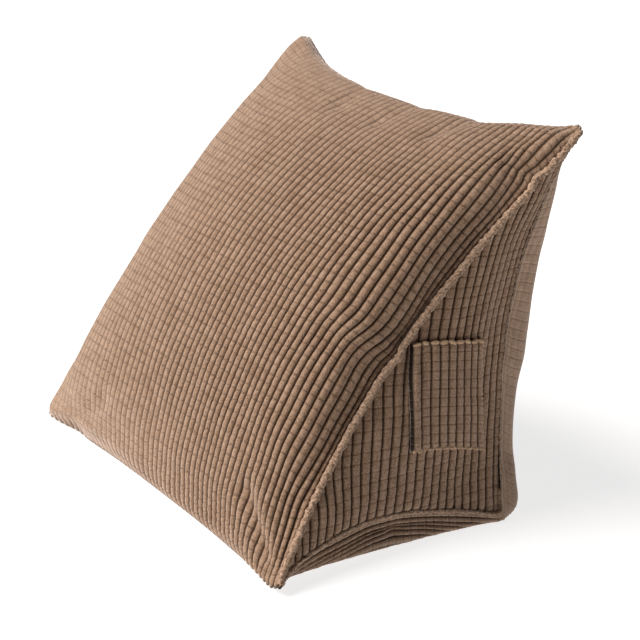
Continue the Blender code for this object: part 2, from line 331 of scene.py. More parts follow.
def creases(grid, closed, held):
    """Blows a grid of cloth up and returns how each point moved, without the broad swell."""
    index = np.arange(grid[..., 0].size).reshape(grid.shape[:2])
    data = bpy.data.meshes.new("settling")
    data.from_pydata(grid.reshape(-1, 3).tolist(), [], grid_faces(index, closed).tolist())
    sheet = in_scene("settling", data)
    group = sheet.vertex_groups.new(name="held")
    group.add(index[held].ravel().tolist(), 1.0, "REPLACE")
    group.add(index[~held].ravel().tolist(), LOOSE_WEIGHT, "REPLACE")
    settings = sheet.modifiers.new("cloth", "CLOTH").settings
    settings.quality = 6
    settings.mass = 0.25
    settings.tension_stiffness = settings.compression_stiffness = 20.0
    settings.bending_stiffness = 0.4
    settings.use_pressure = True
    settings.uniform_pressure_force = 4.0
    settings.vertex_group_mass = "held"
    settings.shrink_min = -SPARE_CLOTH
    settings.effector_weights.gravity = 0.0
    for frame_number in range(1, SETTLE_FRAMES + 1):
        bpy.context.scene.frame_set(frame_number)
    settled = sheet.evaluated_get(bpy.context.evaluated_depsgraph_get()).data
    moved = np.empty(grid.size)
    settled.vertices.foreach_get("co", moved)
    bpy.data.objects.remove(sheet)
    bpy.context.scene.frame_set(1)
    moved = moved.reshape(grid.shape) - grid
    size = np.linalg.norm(moved, axis=2, keepdims=True)
    moved *= np.minimum(1.0, SETTLE_CAP / np.maximum(size, 1e-9))
    kept = blurred(moved, FEW_BLURS, closed) - blurred(moved, MANY_BLURS, closed)
    kept[held] = 0.0
    print("settled", index.shape, "points, creases up to",
          round(float(np.linalg.norm(kept, axis=2).max()) * 1000, 1), "mm")
    return kept


# %% Settle the strip and the two end panels
ON_FLOOR = 0.001
PANEL_CELLS = 31
PANEL_START = 0.04

coarse = strip[::2, ::len(PHASES)]
held = coarse[..., 2] < ON_FLOOR
held[:, [0, -1]] = True
strip_creases = creases(coarse, True, held)

panel_creases = {}
for side in (1, -1):
    rib = np.linspace(PANEL_START, 1.0, PANEL_CELLS + 1)[:, None]
    flat = panel_point(side, rib, np.linspace(0.0, 1.0, PANEL_CELLS + 1))
    held = np.zeros(flat.shape[:2], bool)
    held[[0, -1]] = held[:, [0, -1]] = True
    turned = flat if side > 0 else flat[:, ::-1]
    moved = creases(turned, False, held)
    panel_creases[side] = moved if side > 0 else moved[:, ::-1]
print("settled faces", 1 + len(panel_creases), "in full")

# %% [markdown]
# ## Creases by hand
#
# Some folds are the photographed cushion's own: the tuck beside the toe, the bend half way up the near seam,
# the pinch at the near ear, the soft dents along the top edge, and a fuller heel, back and far side. They
# could be sculpted. A short table does the same in a way that can be read: each is a soft line between two
# points on the surface, with its half width and its depth.

# %% Folds of this cushion
# A row gives the face, the two ends as across and share, the half width and the depth. A positive depth is
# a trough, a negative one stands out.
CREASES = [
    (SLOPE, (0.66, 0.880), (0.86, 0.955), 0.0105, 0.0062),
    (SLOPE, (0.74, 0.850), (0.92, 0.930), 0.0110, -0.0015),
    (SLOPE, (0.90, 0.830), (0.98, 0.850), 0.0090, 0.0020),
    (SLOPE, (0.80, 0.520), (1.00, 0.535), 0.0085, -0.0035),
    (SLOPE, (0.76, 0.575), (0.96, 0.590), 0.0130, 0.0030),
    (SLOPE, (0.90, 0.135), (1.00, 0.120), 0.0070, 0.0065),
    (SLOPE, (0.90, 0.100), (0.99, 0.070), 0.0080, -0.0030),
    (SLOPE, (-0.34, 0.000), (-0.24, 0.120), 0.0120, 0.0040),
    (SLOPE, (0.14, 0.000), (0.06, 0.120), 0.0130, 0.0040),
    (SLOPE, (0.52, 0.000), (0.42, 0.110), 0.0120, 0.0045),
    (SLOPE, (-0.70, 0.000), (-0.56, 0.120), 0.0150, 0.0010),
    (SLOPE, (-0.93, 0.060), (-0.93, 0.840), 0.0500, -0.0042),
    (SLOPE, (-0.55, 0.900), (-0.76, 0.980), 0.0130, 0.0040),
    (BASE, (0.82, 0.560), (0.99, 0.520), 0.0090, 0.0040),
    (BACK, (0.92, 0.055), (0.97, 0.120), 0.0220, -0.0085),
    (BACK, (0.80, 0.450), (0.80, 0.850), 0.0350, -0.0090),
]
UNEVEN = 0.0011
UNEVEN_ACROSS = 0.045
UNEVEN_FROM = 0.03
# Without a seed of its own the noise would differ at each run
NOISE_SEED = 5
noise.seed_set(NOISE_SEED)


def pressed(points, normals):
    """Points moved along their normals by the table of folds."""
    depth = np.zeros(points.shape[:-1])
    for face, first, last, half_width, deep in CREASES:
        start, end = strip_point(face, *first), strip_point(face, *last)
        run = end - start
        share = np.clip(((points - start) @ run) / (run @ run), 0.0, 1.0)
        gap = np.linalg.norm(points - start - share[..., None] * run, axis=-1)
        depth += deep * np.exp(-(gap / half_width) ** 2)
    return points - normals * depth[..., None]


def uneven(points):
    """Points moved by a smooth noise in space, less and less towards the surface that carries them."""
    flat = points.reshape(-1, 3)
    wave = np.array([noise.noise_vector(tuple(p / UNEVEN_ACROSS)) for p in flat])
    ease = smooth_step(flat[:, 2] / UNEVEN_FROM)[:, None]
    return (flat + wave * ease * UNEVEN).reshape(points.shape)


def resampled(values, rows, columns):
    """A grid of values read at fractional rows and columns."""
    low_row = np.clip(np.floor(rows).astype(int), 0, values.shape[0] - 2)
    low_column = np.clip(np.floor(columns).astype(int), 0, values.shape[1] - 2)
    r = smooth_step(rows - low_row)[..., None]
    c = smooth_step(columns - low_column)[..., None]
    top = values[low_row, low_column] * (1 - c) + values[low_row, low_column + 1] * c
    bottom = values[low_row + 1, low_column] * (1 - c) + values[low_row + 1, low_column + 1] * c
    return top * (1 - r) + bottom * r


def strip_normals(grid):
    """The outward direction at each point of the strip, which closes on itself."""
    around = np.roll(grid, -1, axis=0) - np.roll(grid, 1, axis=0)
    normal = np.cross(around, np.gradient(grid, axis=1))
    return normal / np.maximum(np.linalg.norm(normal, axis=2, keepdims=True), 1e-9)


def panel_surface(side, rib, rise):
    """The end panel with its creases, for a share of the ribs and a rise along them."""
    rib, rise = np.broadcast_arrays(np.asarray(rib, float), np.asarray(rise, float))
    cells = (np.clip(rib, PANEL_START, 1.0) - PANEL_START) / (1.0 - PANEL_START) * PANEL_CELLS
    return uneven(panel_point(side, rib, rise) + resampled(panel_creases[side], cells, rise * PANEL_CELLS))


wrapped = np.concatenate([strip_creases, strip_creases[:1]])
row_at, column_at = np.meshgrid(np.arange(len(places)) / 2, cloth * RIBS_ACROSS, indexing="ij")
strip_fine = strip + resampled(wrapped, row_at, column_at)
strip_fine = uneven(pressed(strip_fine, strip_normals(strip)))
strip_fine[..., 2] = np.maximum(strip_fine[..., 2], 0.0)
print("strip", strip_fine.shape, "lowest point", round(float(strip_fine[..., 2].min()), 4))

# %% [markdown]
# ## One closed cover
#
# The strip and the two end panels become one closed mesh. It could be three sheets that only touch, but a
# filled thing has no gap at its seams, and a closed mesh has a true inside. The panels' ribs stand upright,
# so their points lie on levels half a kernel apart, and neighbouring ribs of different length are zipped
# together with triangles, as the panel's border is to the seam.

# %% Build the cover
SEAM_STRIP = 0.005
SHORTEST_RIB = 4.0 * SEAM_STRIP
LEVEL = KERNEL / 2
LEVEL_CLEAR = 0.0016
RIB_SAMPLES = 80
BACK_CLEAR = 0.1


def zipped(first, second):
    """Triangles between two rows of (place, point number), both in rising order of place."""
    a, b, faces = 0, 0, []
    while a < len(first) - 1 or b < len(second) - 1:
        if b == len(second) - 1 or (a < len(first) - 1 and first[a + 1][0] <= second[b + 1][0]):
            faces.append((first[a][1], first[a + 1][1], second[b][1]))
            a += 1
        else:
            faces.append((first[a][1], second[b + 1][1], second[b][1]))
            b += 1
    return faces


def once_round(ring):
    """A ring of (place, point number) in order, ended by its first point three faces on."""
    ring = sorted(ring)
    return ring + [(ring[0][0] + 3.0, ring[0][1])]


def rib_levels(side, rib, length):
    """Heights of the points up one rib of the end panel, and how far up the rib they are."""
    inset = SEAM_STRIP / length
    samples = np.linspace(inset, 1.0 - inset, RIB_SAMPLES)
    heights = panel_surface(side, rib, samples)[:, 2]
    heights = np.maximum.accumulate(heights) + np.arange(RIB_SAMPLES) * 1e-7
    first = math.ceil((heights[0] + LEVEL_CLEAR) / LEVEL)
    last = math.floor((heights[-1] - LEVEL_CLEAR) / LEVEL)
    levels = np.concatenate([[heights[0]], np.arange(first, last + 1) * LEVEL, [heights[-1]]])
    return levels, np.interp(levels, heights, samples)


rows, columns = strip_fine.shape[:2]
total = on_strip = rows * columns
index = np.arange(on_strip).reshape(rows, columns)
faces = grid_faces(index, True).tolist()
strip_faces = len(faces)
points = [strip_fine.reshape(-1, 3)]
rib_of = [np.tile(cloth * RIBS_ACROSS, rows)]
kernel_of = [np.repeat(np.arange(rows) / 2.0, columns)]
seam_points = {1: index[:, -1], -1: index[:, 0]}

last_count = RIBS_ON_PANEL * (1.0 - SEAM_STRIP / DEPTH)
counts = (np.arange(RIBS_ON_PANEL)[:, None] + PHASES).ravel()[1:]
counts = np.append(counts[counts < last_count - BACK_CLEAR], last_count)
ribs = gathered(counts / RIBS_ON_PANEL)
for side in (1, -1):
    length = np.linalg.norm(panel_surface(side, ribs, 1.0) - panel_surface(side, ribs, 0.0), axis=1)
    chosen = np.flatnonzero(length > SHORTEST_RIB)
    upright, border = [], []
    for k in chosen:
        levels, rise = rib_levels(side, ribs[k], length[k])
        numbers = list(range(total, total + len(levels)))
        total += len(levels)
        points.append(panel_surface(side, ribs[k], rise))
        rib_of.append(np.full(len(levels), counts[k]))
        kernel_of.append(levels / KERNEL)
        upright.append(list(zip(levels, numbers)))
        border += [(BASE + ribs[k], numbers[0]), (SLOPE + 1.0 - ribs[k], numbers[-1])]
    for line, following in zip(upright, upright[1:]):
        faces += zipped(line, following)
    border += [(BACK + up, number) for up, number in zip(rise[1:-1], numbers[1:-1])]
    round_toe = np.linspace(ribs[chosen[0]], -ribs[chosen[0]], len(upright[0])) % 3.0
    border += [(place, number) for place, (_, number) in zip(round_toe[1:-1], upright[0][1:-1])]
    seam = zip(places.tolist(), seam_points[side].tolist())
    faces += zipped(once_round(seam), once_round(border))

points, rib_of, kernel_of = np.concatenate(points), np.concatenate(rib_of), np.concatenate(kernel_of)
print("cover points", len(points), "faces", len(faces))

# %% [markdown]
# ## The cover's map
#
# Each corner of each face keeps its place on the cloth in a UV map, one unit for a rib and one for a kernel.
# A map could be unwrapped by Blender, but here the counts are known already. A seam point belongs to two
# pieces of cloth, so its corners on the end panel are counted as the panel counts them.

# %% Map of the cover
EVEN = np.linspace(0.0, 1.0, 400)


def corner_points(data):
    """The number of the point at every corner of every face."""
    corners = np.empty(len(data.loops), int)
    data.loops.foreach_get("vertex_index", corners)
    return corners


def panel_map(number):
    """Rib and kernel of a seam point as the end panel counts them."""
    place = places[number // columns]
    rib = {BASE: place % 1.0, BACK: 1.0, SLOPE: 1.0 - place % 1.0}[int(place)]
    return np.interp(rib, gathered(EVEN), EVEN) * RIBS_ON_PANEL, points[number][2] / KERNEL


cover_data = bpy.data.meshes.new("cushion_cover")
cover_data.from_pydata(points.tolist(), [], faces)
corners = corner_points(cover_data)
cover_map = np.stack([rib_of[corners], kernel_of[corners]], axis=1)
quads = cover_map[:4 * strip_faces].reshape(-1, 4, 2)
quads[-(columns - 1):, 2:, 1] = rows / 2.0
for loop in range(4 * strip_faces, len(corners)):
    if corners[loop] < on_strip:
        cover_map[loop] = panel_map(int(corners[loop]))
print("corners of the cover", len(corners))

# %% [markdown]
# ## How full the ribs are
#
# The rolls are full only where the cloth lies free. They are pressed flat underneath, small at the ears, and
# laid down towards the far end, over the top edge and round the toe. Beyond the back seam the photograph
# shows a few ribs rubbed nearly smooth. The ribs could be modelled apart in each place, but one number for
# each point, 0 for flat and 1 for full, says all of it. A second number is painted shade on the cloth where
# it disappears into the back seam, and a third says how strong the painted shade in the creases between
# kernels is, which is less on the panels.

# %% Relief of the cover
FLAT_FADE = 0.006
EAR_RELIEF, EAR_FROM, EAR_FADE = 0.60, 0.005, 0.025
FAR_RELIEF, FAR_FADE = 0.22, 0.75
RIDGE_RELIEF, RIDGE_FADE, RIDGE_NEAR = 0.38, 0.32, 0.65
TOE_RELIEF, TOE_FADE, TOE_NEAR_FADE = 0.40, 0.22, 0.90
SEAM_RELIEF, BACK_SEAM_RELIEF = 0.45, 1.2
RUBBED_RIBS, RUBBED_FADE, RUBBED_SHARE = 5, 1.5, 0.95
BACK_SEAM = (BACK + 0.06, BACK + 0.84)
# Painted shade at the back seam, on its point and the two points beside it, and on the panel's last rib
BACK_SEAM_SHADE = (1.0, 0.9, 0.45)
PANEL_SEAM_SHADE = 0.55
# How strong the painted shade in the creases between kernels is on the end panels and the pocket
PANEL_CREASE_SHADE = 0.45


def by_row(values, elsewhere):
    """One value for each row of the strip, given to all its points, and another for the end panels."""
    spread = np.full(len(points), elsewhere)
    spread[:on_strip] = np.repeat(values, columns)
    return spread


def risen(low, share):
    """From low at a share of 0 to 1 at a share of 1."""
    return low + (1.0 - low) * share


def finished(data, cloth_map, values):
    """Gives a mesh its map, its values for each point and outward faces, and stands it in the scene."""
    layer = data.uv_layers.new(name="cloth")
    layer.data.foreach_set("uv", cloth_map.astype(np.float32).ravel())
    for name, numbers in values.items():
        attribute = data.attributes.new(name, "FLOAT", "POINT")
        attribute.data.foreach_set("value", numbers.astype(np.float32))
    mesh = bmesh.new()
    mesh.from_mesh(data)
    bmesh.ops.recalc_face_normals(mesh, faces=mesh.faces)
    open_edges = sum(1 for edge in mesh.edges if len(edge.link_faces) != 2)
    mesh.to_mesh(data)
    mesh.free()
    data.shade_smooth()
    print(data.name, "open edges", open_edges)
    return in_scene("smooth", data)


is_strip = by_row(np.ones(rows, bool), False)
is_base = by_row(places < BACK, False)
is_back = by_row((places > BACK) & (places < SLOPE), False)
share = by_row(np.where(places >= SLOPE, places - SLOPE, 0.5), 0.5)
near = rib_of / RIBS_ACROSS
ears = np.array([strip_point(face, side, 0.0) for face in (BASE, BACK, SLOPE) for side in (1, -1)])
to_ear = np.linalg.norm(points[:, None] - ears[None], axis=2).min(axis=1)

relief = smooth_step(points[:, 2] / np.where(is_base, FLAT_FADE, 0.5 * FLAT_FADE))
relief *= risen(EAR_RELIEF, smooth_step((to_ear - EAR_FROM) / EAR_FADE))
far = risen(FAR_RELIEF, smooth_step(near / FAR_FADE))
top = np.maximum(smooth_step(share / RIDGE_FADE), RIDGE_NEAR * smooth_step((near - 0.5) / 0.4))
toe = np.maximum(smooth_step((1.0 - share) / TOE_FADE), smooth_step(near / TOE_NEAR_FADE))
relief *= np.where(is_strip & ~is_base, far * risen(RIDGE_RELIEF, top) * risen(TOE_RELIEF, toe), 1.0)
rubbed = smooth_step((rib_of - RIBS_ACROSS + RUBBED_RIBS + RUBBED_FADE) / RUBBED_FADE)
relief *= np.where(is_back, 1.0 - RUBBED_SHARE * rubbed, 1.0)

# Painted shade where the cloth runs into the back seam, and on the end panel's last rib beside it
back_seam = (places > BACK_SEAM[0]) & (places < BACK_SEAM[1])
tuck = np.zeros(len(points))
for numbers in seam_points.values():
    relief[numbers] *= np.where(back_seam, 1.0, SEAM_RELIEF)
    tuck[numbers] = back_seam
relief[seam_points[1][back_seam]] = BACK_SEAM_RELIEF
for step, darkness in enumerate(BACK_SEAM_SHADE):
    tuck[seam_points[1][back_seam] - step] = darkness
tuck[~is_strip & (rib_of > RIBS_ON_PANEL - 0.7)] = PANEL_SEAM_SHADE
# Strength of the painted shade in the creases: full on the strip and less on the panels
crease_shade = np.where(is_strip, 1.0, PANEL_CREASE_SHADE)
smooth_cover = finished(cover_data, cover_map, {
    "rib": rib_of, "kernel": kernel_of, "relief": relief, "tuck": tuck, "crease_shade": crease_shade})

# %% [markdown]
# ## Node trees that shape things
#
# Ribs, seams and stitches repeat or follow a path, so Geometry Nodes make them. A few helpers are enough:
# one adds a node with its settings and links, and the others open a tree with named inputs, end it, and run
# it on an object, whose result is kept as a plain mesh. The values of a tree are its named inputs, set by
# their identifiers before it first runs.

# %% Helpers for node trees


def feed(tree, node, inputs):
    """Gives a node's inputs a value, or a link from a socket or from the first output of another node."""
    for name, value in inputs.items():
        if isinstance(value, bpy.types.Node):
            value = value.outputs[0]
        if isinstance(value, bpy.types.NodeSocket):
            tree.links.new(value, node.inputs[name])
        else:
            node.inputs[name].default_value = value


def add(tree, kind, settings=None, inputs=None):
    """Adds a node.

    The settings are its properties, or just the name of its operation. The inputs are given by name or
    number, or as values in order.
    """
    node = tree.nodes.new(kind)
    if isinstance(settings, str):
        settings = {"operation": settings}
    for name, value in (settings or {}).items():
        setattr(node, name, value)
    feed(tree, node, dict(enumerate(inputs)) if isinstance(inputs, tuple) else inputs or {})
    return node


def shape_tree(name, inputs):
    """A new Geometry Nodes tree with a geometry input and output and named number inputs."""
    tree = bpy.data.node_groups.new(name, "GeometryNodeTree")
    tree.interface.new_socket("Geometry", in_out="INPUT", socket_type="NodeSocketGeometry")
    for label, value in inputs.items():
        kind = "NodeSocketInt" if isinstance(value, int) else "NodeSocketFloat"
        tree.interface.new_socket(label, in_out="INPUT", socket_type=kind).default_value = value
    tree.interface.new_socket("Geometry", in_out="OUTPUT", socket_type="NodeSocketGeometry")
    return tree, tree.nodes.new("NodeGroupInput").outputs


def close_tree(tree, geometry, material):
    """Ends a tree in Realize Instances and Set Material."""
    real = add(tree, "GeometryNodeRealizeInstances", inputs={0: geometry})
    dressed = add(tree, "GeometryNodeSetMaterial", inputs={"Geometry": real, "Material": material})
    add(tree, "NodeGroupOutput", inputs={0: dressed})
    return tree


def grown(source, tree, name, values):
    """Runs a tree on an object and returns the result as a plain mesh object; the source goes."""
    modifier = source.modifiers.new("shape", "NODES")
    modifier.node_group = tree
    for item in tree.interface.items_tree:
        if item.in_out == "INPUT" and item.name in values:
            modifier[item.identifier] = values[item.name]
    bpy.context.view_layer.update()
    graph = bpy.context.evaluated_depsgraph_get()
    evaluated = source.evaluated_get(graph)
    made = bpy.data.meshes.new_from_object(evaluated, preserve_all_data_layers=True, depsgraph=graph)
    bpy.data.objects.remove(source)
    made.name = name
    made.shade_smooth()
    made.calc_loop_triangles()
    print(name, len(made.vertices), "points,", len(made.loop_triangles), "triangles")
    return in_scene(name, made)


# %% [markdown]
# ## The cloth's finish
#
# The cloth is brushed polyester plush, often sold as corn-kernel velvet. Its pile stands up and swallows
# light, so it is rough, has no highlight, and glows a little where one looks along the surface, which Sheen
# gives. Its crests are light brown and a little rubbed. The grooves get painted shade, nearly black, for the
# shadow where no light gets down between the rolls. A picture of cloth could be laid on, but a pattern made
# of nodes stays sharp and follows the cloth's own map, one unit for a rib and one for a kernel.

# %% Plush
PILE_LIGHT = "#a38873"
PILE_MID = "#7d624c"
# Painted shade for the grooves between the rolls and the creases between kernels
PILE_SHADE = "#3f2b1a"
# Painted shade for the back seam, the pocket's slit and the pocket's foot
DARKEST_SHADE = "#1a110a"
SHEEN_TINT = "#e8d6cc"
# A tuft is about 0.5 mm across, too fine to show here, so the flecks are drawn three times as coarse
FLECK_MM = 1.5
PATCH_MM = 14.0
# Size of the noise that breaks up the painted shade in the creases between kernels
SHADE_BREAK_MM = 6.0


def linear(code):
    """An sRGB hex value as the linear colour that shaders use."""
    parts = [int(code[k:k + 2], 16) / 255 for k in (1, 3, 5)]
    return (*[c / 12.92 if c <= 0.04045 else ((c + 0.055) / 1.055) ** 2.4 for c in parts], 1.0)


def bare_material(name):
    """A new material with its tree and its shader."""
    material = bpy.data.materials.new(name)
    material.use_nodes = True
    return material, material.node_tree, material.node_tree.nodes["Principled BSDF"]


def plush(name, light, mid, deep):
    """Brushed plush with painted shade in grooves, creases and seams, flecked pile and a soft edge glow."""
    material, tree, shader = bare_material(name)
    where = add(tree, "ShaderNodeTexCoord").outputs["Object"]
    cloth_map = add(tree, "ShaderNodeUVMap", {"uv_map": "cloth"})
    split = add(tree, "ShaderNodeSeparateXYZ", inputs=(cloth_map,))
    to_groove, to_crease = [
        add(tree, "ShaderNodeMath", "PINGPONG", (split.outputs[k], 0.5)) for k in (0, 1)]
    relief, tuck, crease_shade = [
        add(tree, "ShaderNodeAttribute", {"attribute_name": label}).outputs["Fac"]
        for label in ("relief", "tuck", "crease_shade")]
    fleck, patch, worn = [
        add(tree, "ShaderNodeTexNoise", inputs={
            "Vector": where, "Scale": 1000.0 / size, "Detail": detail, "Roughness": rough})
        for size, detail, rough in ((FLECK_MM, 2.0, 0.6), (PATCH_MM, 3.0, 0.55), (SHADE_BREAK_MM, 2.0, 0.7))]

    # Flecks of single tufts and broader patches where the pile lies another way
    mottle = add(tree, "ShaderNodeMath", "MULTIPLY", (patch, 0.5))
    blend = add(tree, "ShaderNodeMath", "MULTIPLY_ADD", (fleck, 1.1, mottle))
    spread = add(tree, "ShaderNodeMapRange", inputs={"Value": blend, "From Min": 0.62, "From Max": 0.98})
    # Paler where the pile is laid down, which also paints in sheen at the far end, the top edge and the toe
    laid_and_sheen = add(tree, "ShaderNodeMapRange", inputs={
        "Value": relief, "From Min": 0.15, "From Max": 1.0, "To Min": 0.35, "To Max": 0.0})
    paler = add(tree, "ShaderNodeMath", "ADD", (spread, laid_and_sheen))
    crest = add(tree, "ShaderNodeMix", {"data_type": "RGBA", "clamp_factor": False}, {
        "Factor": paler, 6: linear(mid), 7: linear(light)})

    # Painted shade darkens the groove over about two millimetres on each side, less where the cloth is laid
    # flat
    groove = add(tree, "ShaderNodeMapRange", {"interpolation_type": "SMOOTHSTEP"}, {
        "Value": to_groove, "From Min": 0.03, "From Max": 0.23, "To Min": 1.0, "To Max": 0.0})
    filled = add(tree, "ShaderNodeMapRange", inputs={"Value": relief, "To Min": 0.15})
    shaded = add(tree, "ShaderNodeMath", "MULTIPLY", (groove, filled))

    # Painted shade in the crease between kernels: fainter, broken up by noise, gone where there are no ribs
    crease = add(tree, "ShaderNodeMapRange", {"interpolation_type": "SMOOTHSTEP"}, {
        "Value": to_crease, "From Min": 0.0, "From Max": 0.17, "To Min": 0.62, "To Max": 0.0})
    kept = add(tree, "ShaderNodeMapRange", inputs={
        "Value": worn, "From Min": 0.38, "From Max": 0.62, "To Min": 0.15})
    ribbed = add(tree, "ShaderNodeMapRange", inputs={"Value": relief, "From Min": 0.05, "From Max": 0.20})
    painted_crease_shade = crease
    for share in (kept, ribbed, crease_shade):
        painted_crease_shade = add(tree, "ShaderNodeMath", "MULTIPLY", (painted_crease_shade, share))
    both = add(tree, "ShaderNodeMath", "MAXIMUM", (shaded, painted_crease_shade))
    # Painted shade mixed in over the grooves and the creases between kernels
    pile = add(tree, "ShaderNodeMix", {"data_type": "RGBA"}, {
        "Factor": both, 6: crest.outputs[2], 7: linear(deep)})
    # Painted shade where the cloth runs into the back seam, in the pocket's slit and along its foot
    colour = add(tree, "ShaderNodeMix", {"data_type": "RGBA"}, {
        "Factor": tuck, 6: pile.outputs[2], 7: linear(DARKEST_SHADE)})

    # Tufts stand a few tenths of a millimetre apart in height, and a crease is a fine dip
    dip = add(tree, "ShaderNodeMath", "MULTIPLY_ADD", (crease, -1.2, fleck))
    bump = add(tree, "ShaderNodeBump", inputs={"Height": dip, "Strength": 0.9, "Distance": 0.0009})
    feed(tree, shader, {
        "Base Color": colour.outputs[2], "Normal": bump, "Roughness": 0.95, "Specular IOR Level": 0.15,
        "Sheen Weight": 0.9, "Sheen Roughness": 0.4, "Sheen Tint": linear(SHEEN_TINT)})
    return material


cover_plush = plush("brushed_ribbed_plush", PILE_LIGHT, PILE_MID, PILE_SHADE)
print("plush flecks", FLECK_MM, "mm, patches", PATCH_MM, "mm")

# %% [markdown]
# ## Raising the ribs
#
# Each roll of pile is round on top and falls steeply into its groove. The ribs could be a bump in the
# material alone, but they show in the outline and shade each other, so they are real: the tree pushes the
# surface in along its normal by how near a point is to a groove, and a little at each kernel's crease, with
# a slow noise so that no two rolls are quite alike. All of it is scaled by the relief of each point.

# %% Ribs
RIB_DEPTH = 0.0034
RIB_ROUNDNESS = 2.6
KERNEL_DEPTH = 0.0005
KERNEL_ROUNDNESS = 2.0
RIB_UNEVEN = 0.0010
PILE_HEIGHT = 0.0010


def relief_tree(material):
    """Raises the ribs and kernels of the cloth from the smooth surface."""
    tree, given = shape_tree("raise_ribs", {
        "Rib Depth": RIB_DEPTH, "Rib Roundness": RIB_ROUNDNESS, "Kernel Depth": KERNEL_DEPTH,
        "Kernel Roundness": KERNEL_ROUNDNESS, "Unevenness": RIB_UNEVEN, "Unevenness Scale": 70.0,
        "Pile Height": PILE_HEIGHT})
    dips = []
    for label, roundness, depth in (("rib", "Rib Roundness", "Rib Depth"),
                                    ("kernel", "Kernel Roundness", "Kernel Depth")):
        # How steep: 1 in the groove and 0 on the crest, falling off as a rounded roll does
        counted = add(tree, "GeometryNodeInputNamedAttribute", inputs={"Name": label})
        away = add(tree, "ShaderNodeMath", "PINGPONG", (counted, 0.5))
        close = add(tree, "ShaderNodeMath", "MULTIPLY_ADD", (away, -2.0, 1.0))
        steep = add(tree, "ShaderNodeMath", "POWER", (close, given[roundness]))
        dips.append(add(tree, "ShaderNodeMath", "MULTIPLY", (steep, given[depth])))
    dip = add(tree, "ShaderNodeMath", "ADD", (dips[0], dips[1]))
    lumps = add(tree, "ShaderNodeTexNoise", inputs={"Scale": given["Unevenness Scale"], "Detail": 2.0})
    centred = add(tree, "ShaderNodeMath", "SUBTRACT", (lumps, 0.5))
    raised = add(tree, "ShaderNodeMath", "MULTIPLY_ADD",
                 (centred, given["Unevenness"], given["Pile Height"]))
    height = add(tree, "ShaderNodeMath", "SUBTRACT", (raised, dip))
    relief = add(tree, "GeometryNodeInputNamedAttribute", inputs={"Name": "relief"})
    scaled = add(tree, "ShaderNodeMath", "MULTIPLY", (height, relief))
    normal = add(tree, "GeometryNodeInputNormal")
    offset = add(tree, "ShaderNodeVectorMath", "SCALE", {0: normal, "Scale": scaled})
    moved = add(tree, "GeometryNodeSetPosition", inputs={"Geometry": given["Geometry"], "Offset": offset})
    return close_tree(tree, moved, material)


ribs_tree = relief_tree(cover_plush)
cover = grown(smooth_cover, ribs_tree, "cushion_cover",
              {"Rib Depth": RIB_DEPTH, "Kernel Depth": KERNEL_DEPTH})

# %% [markdown]
# ## Rolled seams
#
# Where the slope meets the end panel, the two cut edges are turned and rolled into one narrow welt, lighter
# than the cloth because the pile is rubbed off it. It twists as it goes, so it looks like a thin rope. It
# could be sculpted, but a tree makes it from the line of the seam: a flattened profile swept along the curve
# with an uneven twist, then roughened. On the back and the base the welt is sunk and thinner, and on the
# plain end it is thinner all round and lies closer.

# %% Rubbed plush for the welts
WELT_LIGHT = "#b49881"
WELT_DARK = "#6d5543"
WELT_FLECK_MM = 2.2


def rubbed_plush(name, light, dark, fleck_mm):
    """Pile worn short on a turned edge: it looks lighter, more even, and dark only in its twist."""
    material, tree, shader = bare_material(name)
    where = add(tree, "ShaderNodeTexCoord").outputs["Object"]
    fleck = add(tree, "ShaderNodeTexNoise", inputs={
        "Vector": where, "Scale": 1000.0 / fleck_mm, "Detail": 3.0, "Roughness": 0.65})
    spread = add(tree, "ShaderNodeMapRange", inputs={"Value": fleck, "From Min": 0.38, "From Max": 0.62})
    colour = add(tree, "ShaderNodeMix", {"data_type": "RGBA"}, {
        "Factor": spread, 6: linear(dark), 7: linear(light)})
    bump = add(tree, "ShaderNodeBump", inputs={"Height": fleck, "Strength": 0.8, "Distance": 0.0007})
    feed(tree, shader, {
        "Base Color": colour.outputs[2], "Normal": bump, "Roughness": 0.9, "Specular IOR Level": 0.15,
        "Sheen Weight": 0.2, "Sheen Roughness": 0.5})
    return material


welt_plush = rubbed_plush("rubbed_plush_edge", WELT_LIGHT, WELT_DARK, WELT_FLECK_MM)
print("welt flecks", WELT_FLECK_MM, "mm")

# %% Welts
WELT_RADIUS = {BASE: 0.0030, BACK: 0.0010, SLOPE: 0.0042}
WELT_FLAT = 0.82
WELT_TWIST = 0.019
WELT_WANDER = 1.2
WELT_STEP = 0.0016
WELT_ROUGH = 0.0034
WELT_ROUGH_SCALE = 300.0
WELT_OUT = 0.0064
WELT_UP = 0.0020
WELT_CLEAR = 0.0024
WELT_BLURS = 6
# side, name, share of the distance out, share of the girth
WELT_ENDS = [(1, "pocket_end", 1.0, 1.0), (-1, "plain_end", 0.4, 0.6)]


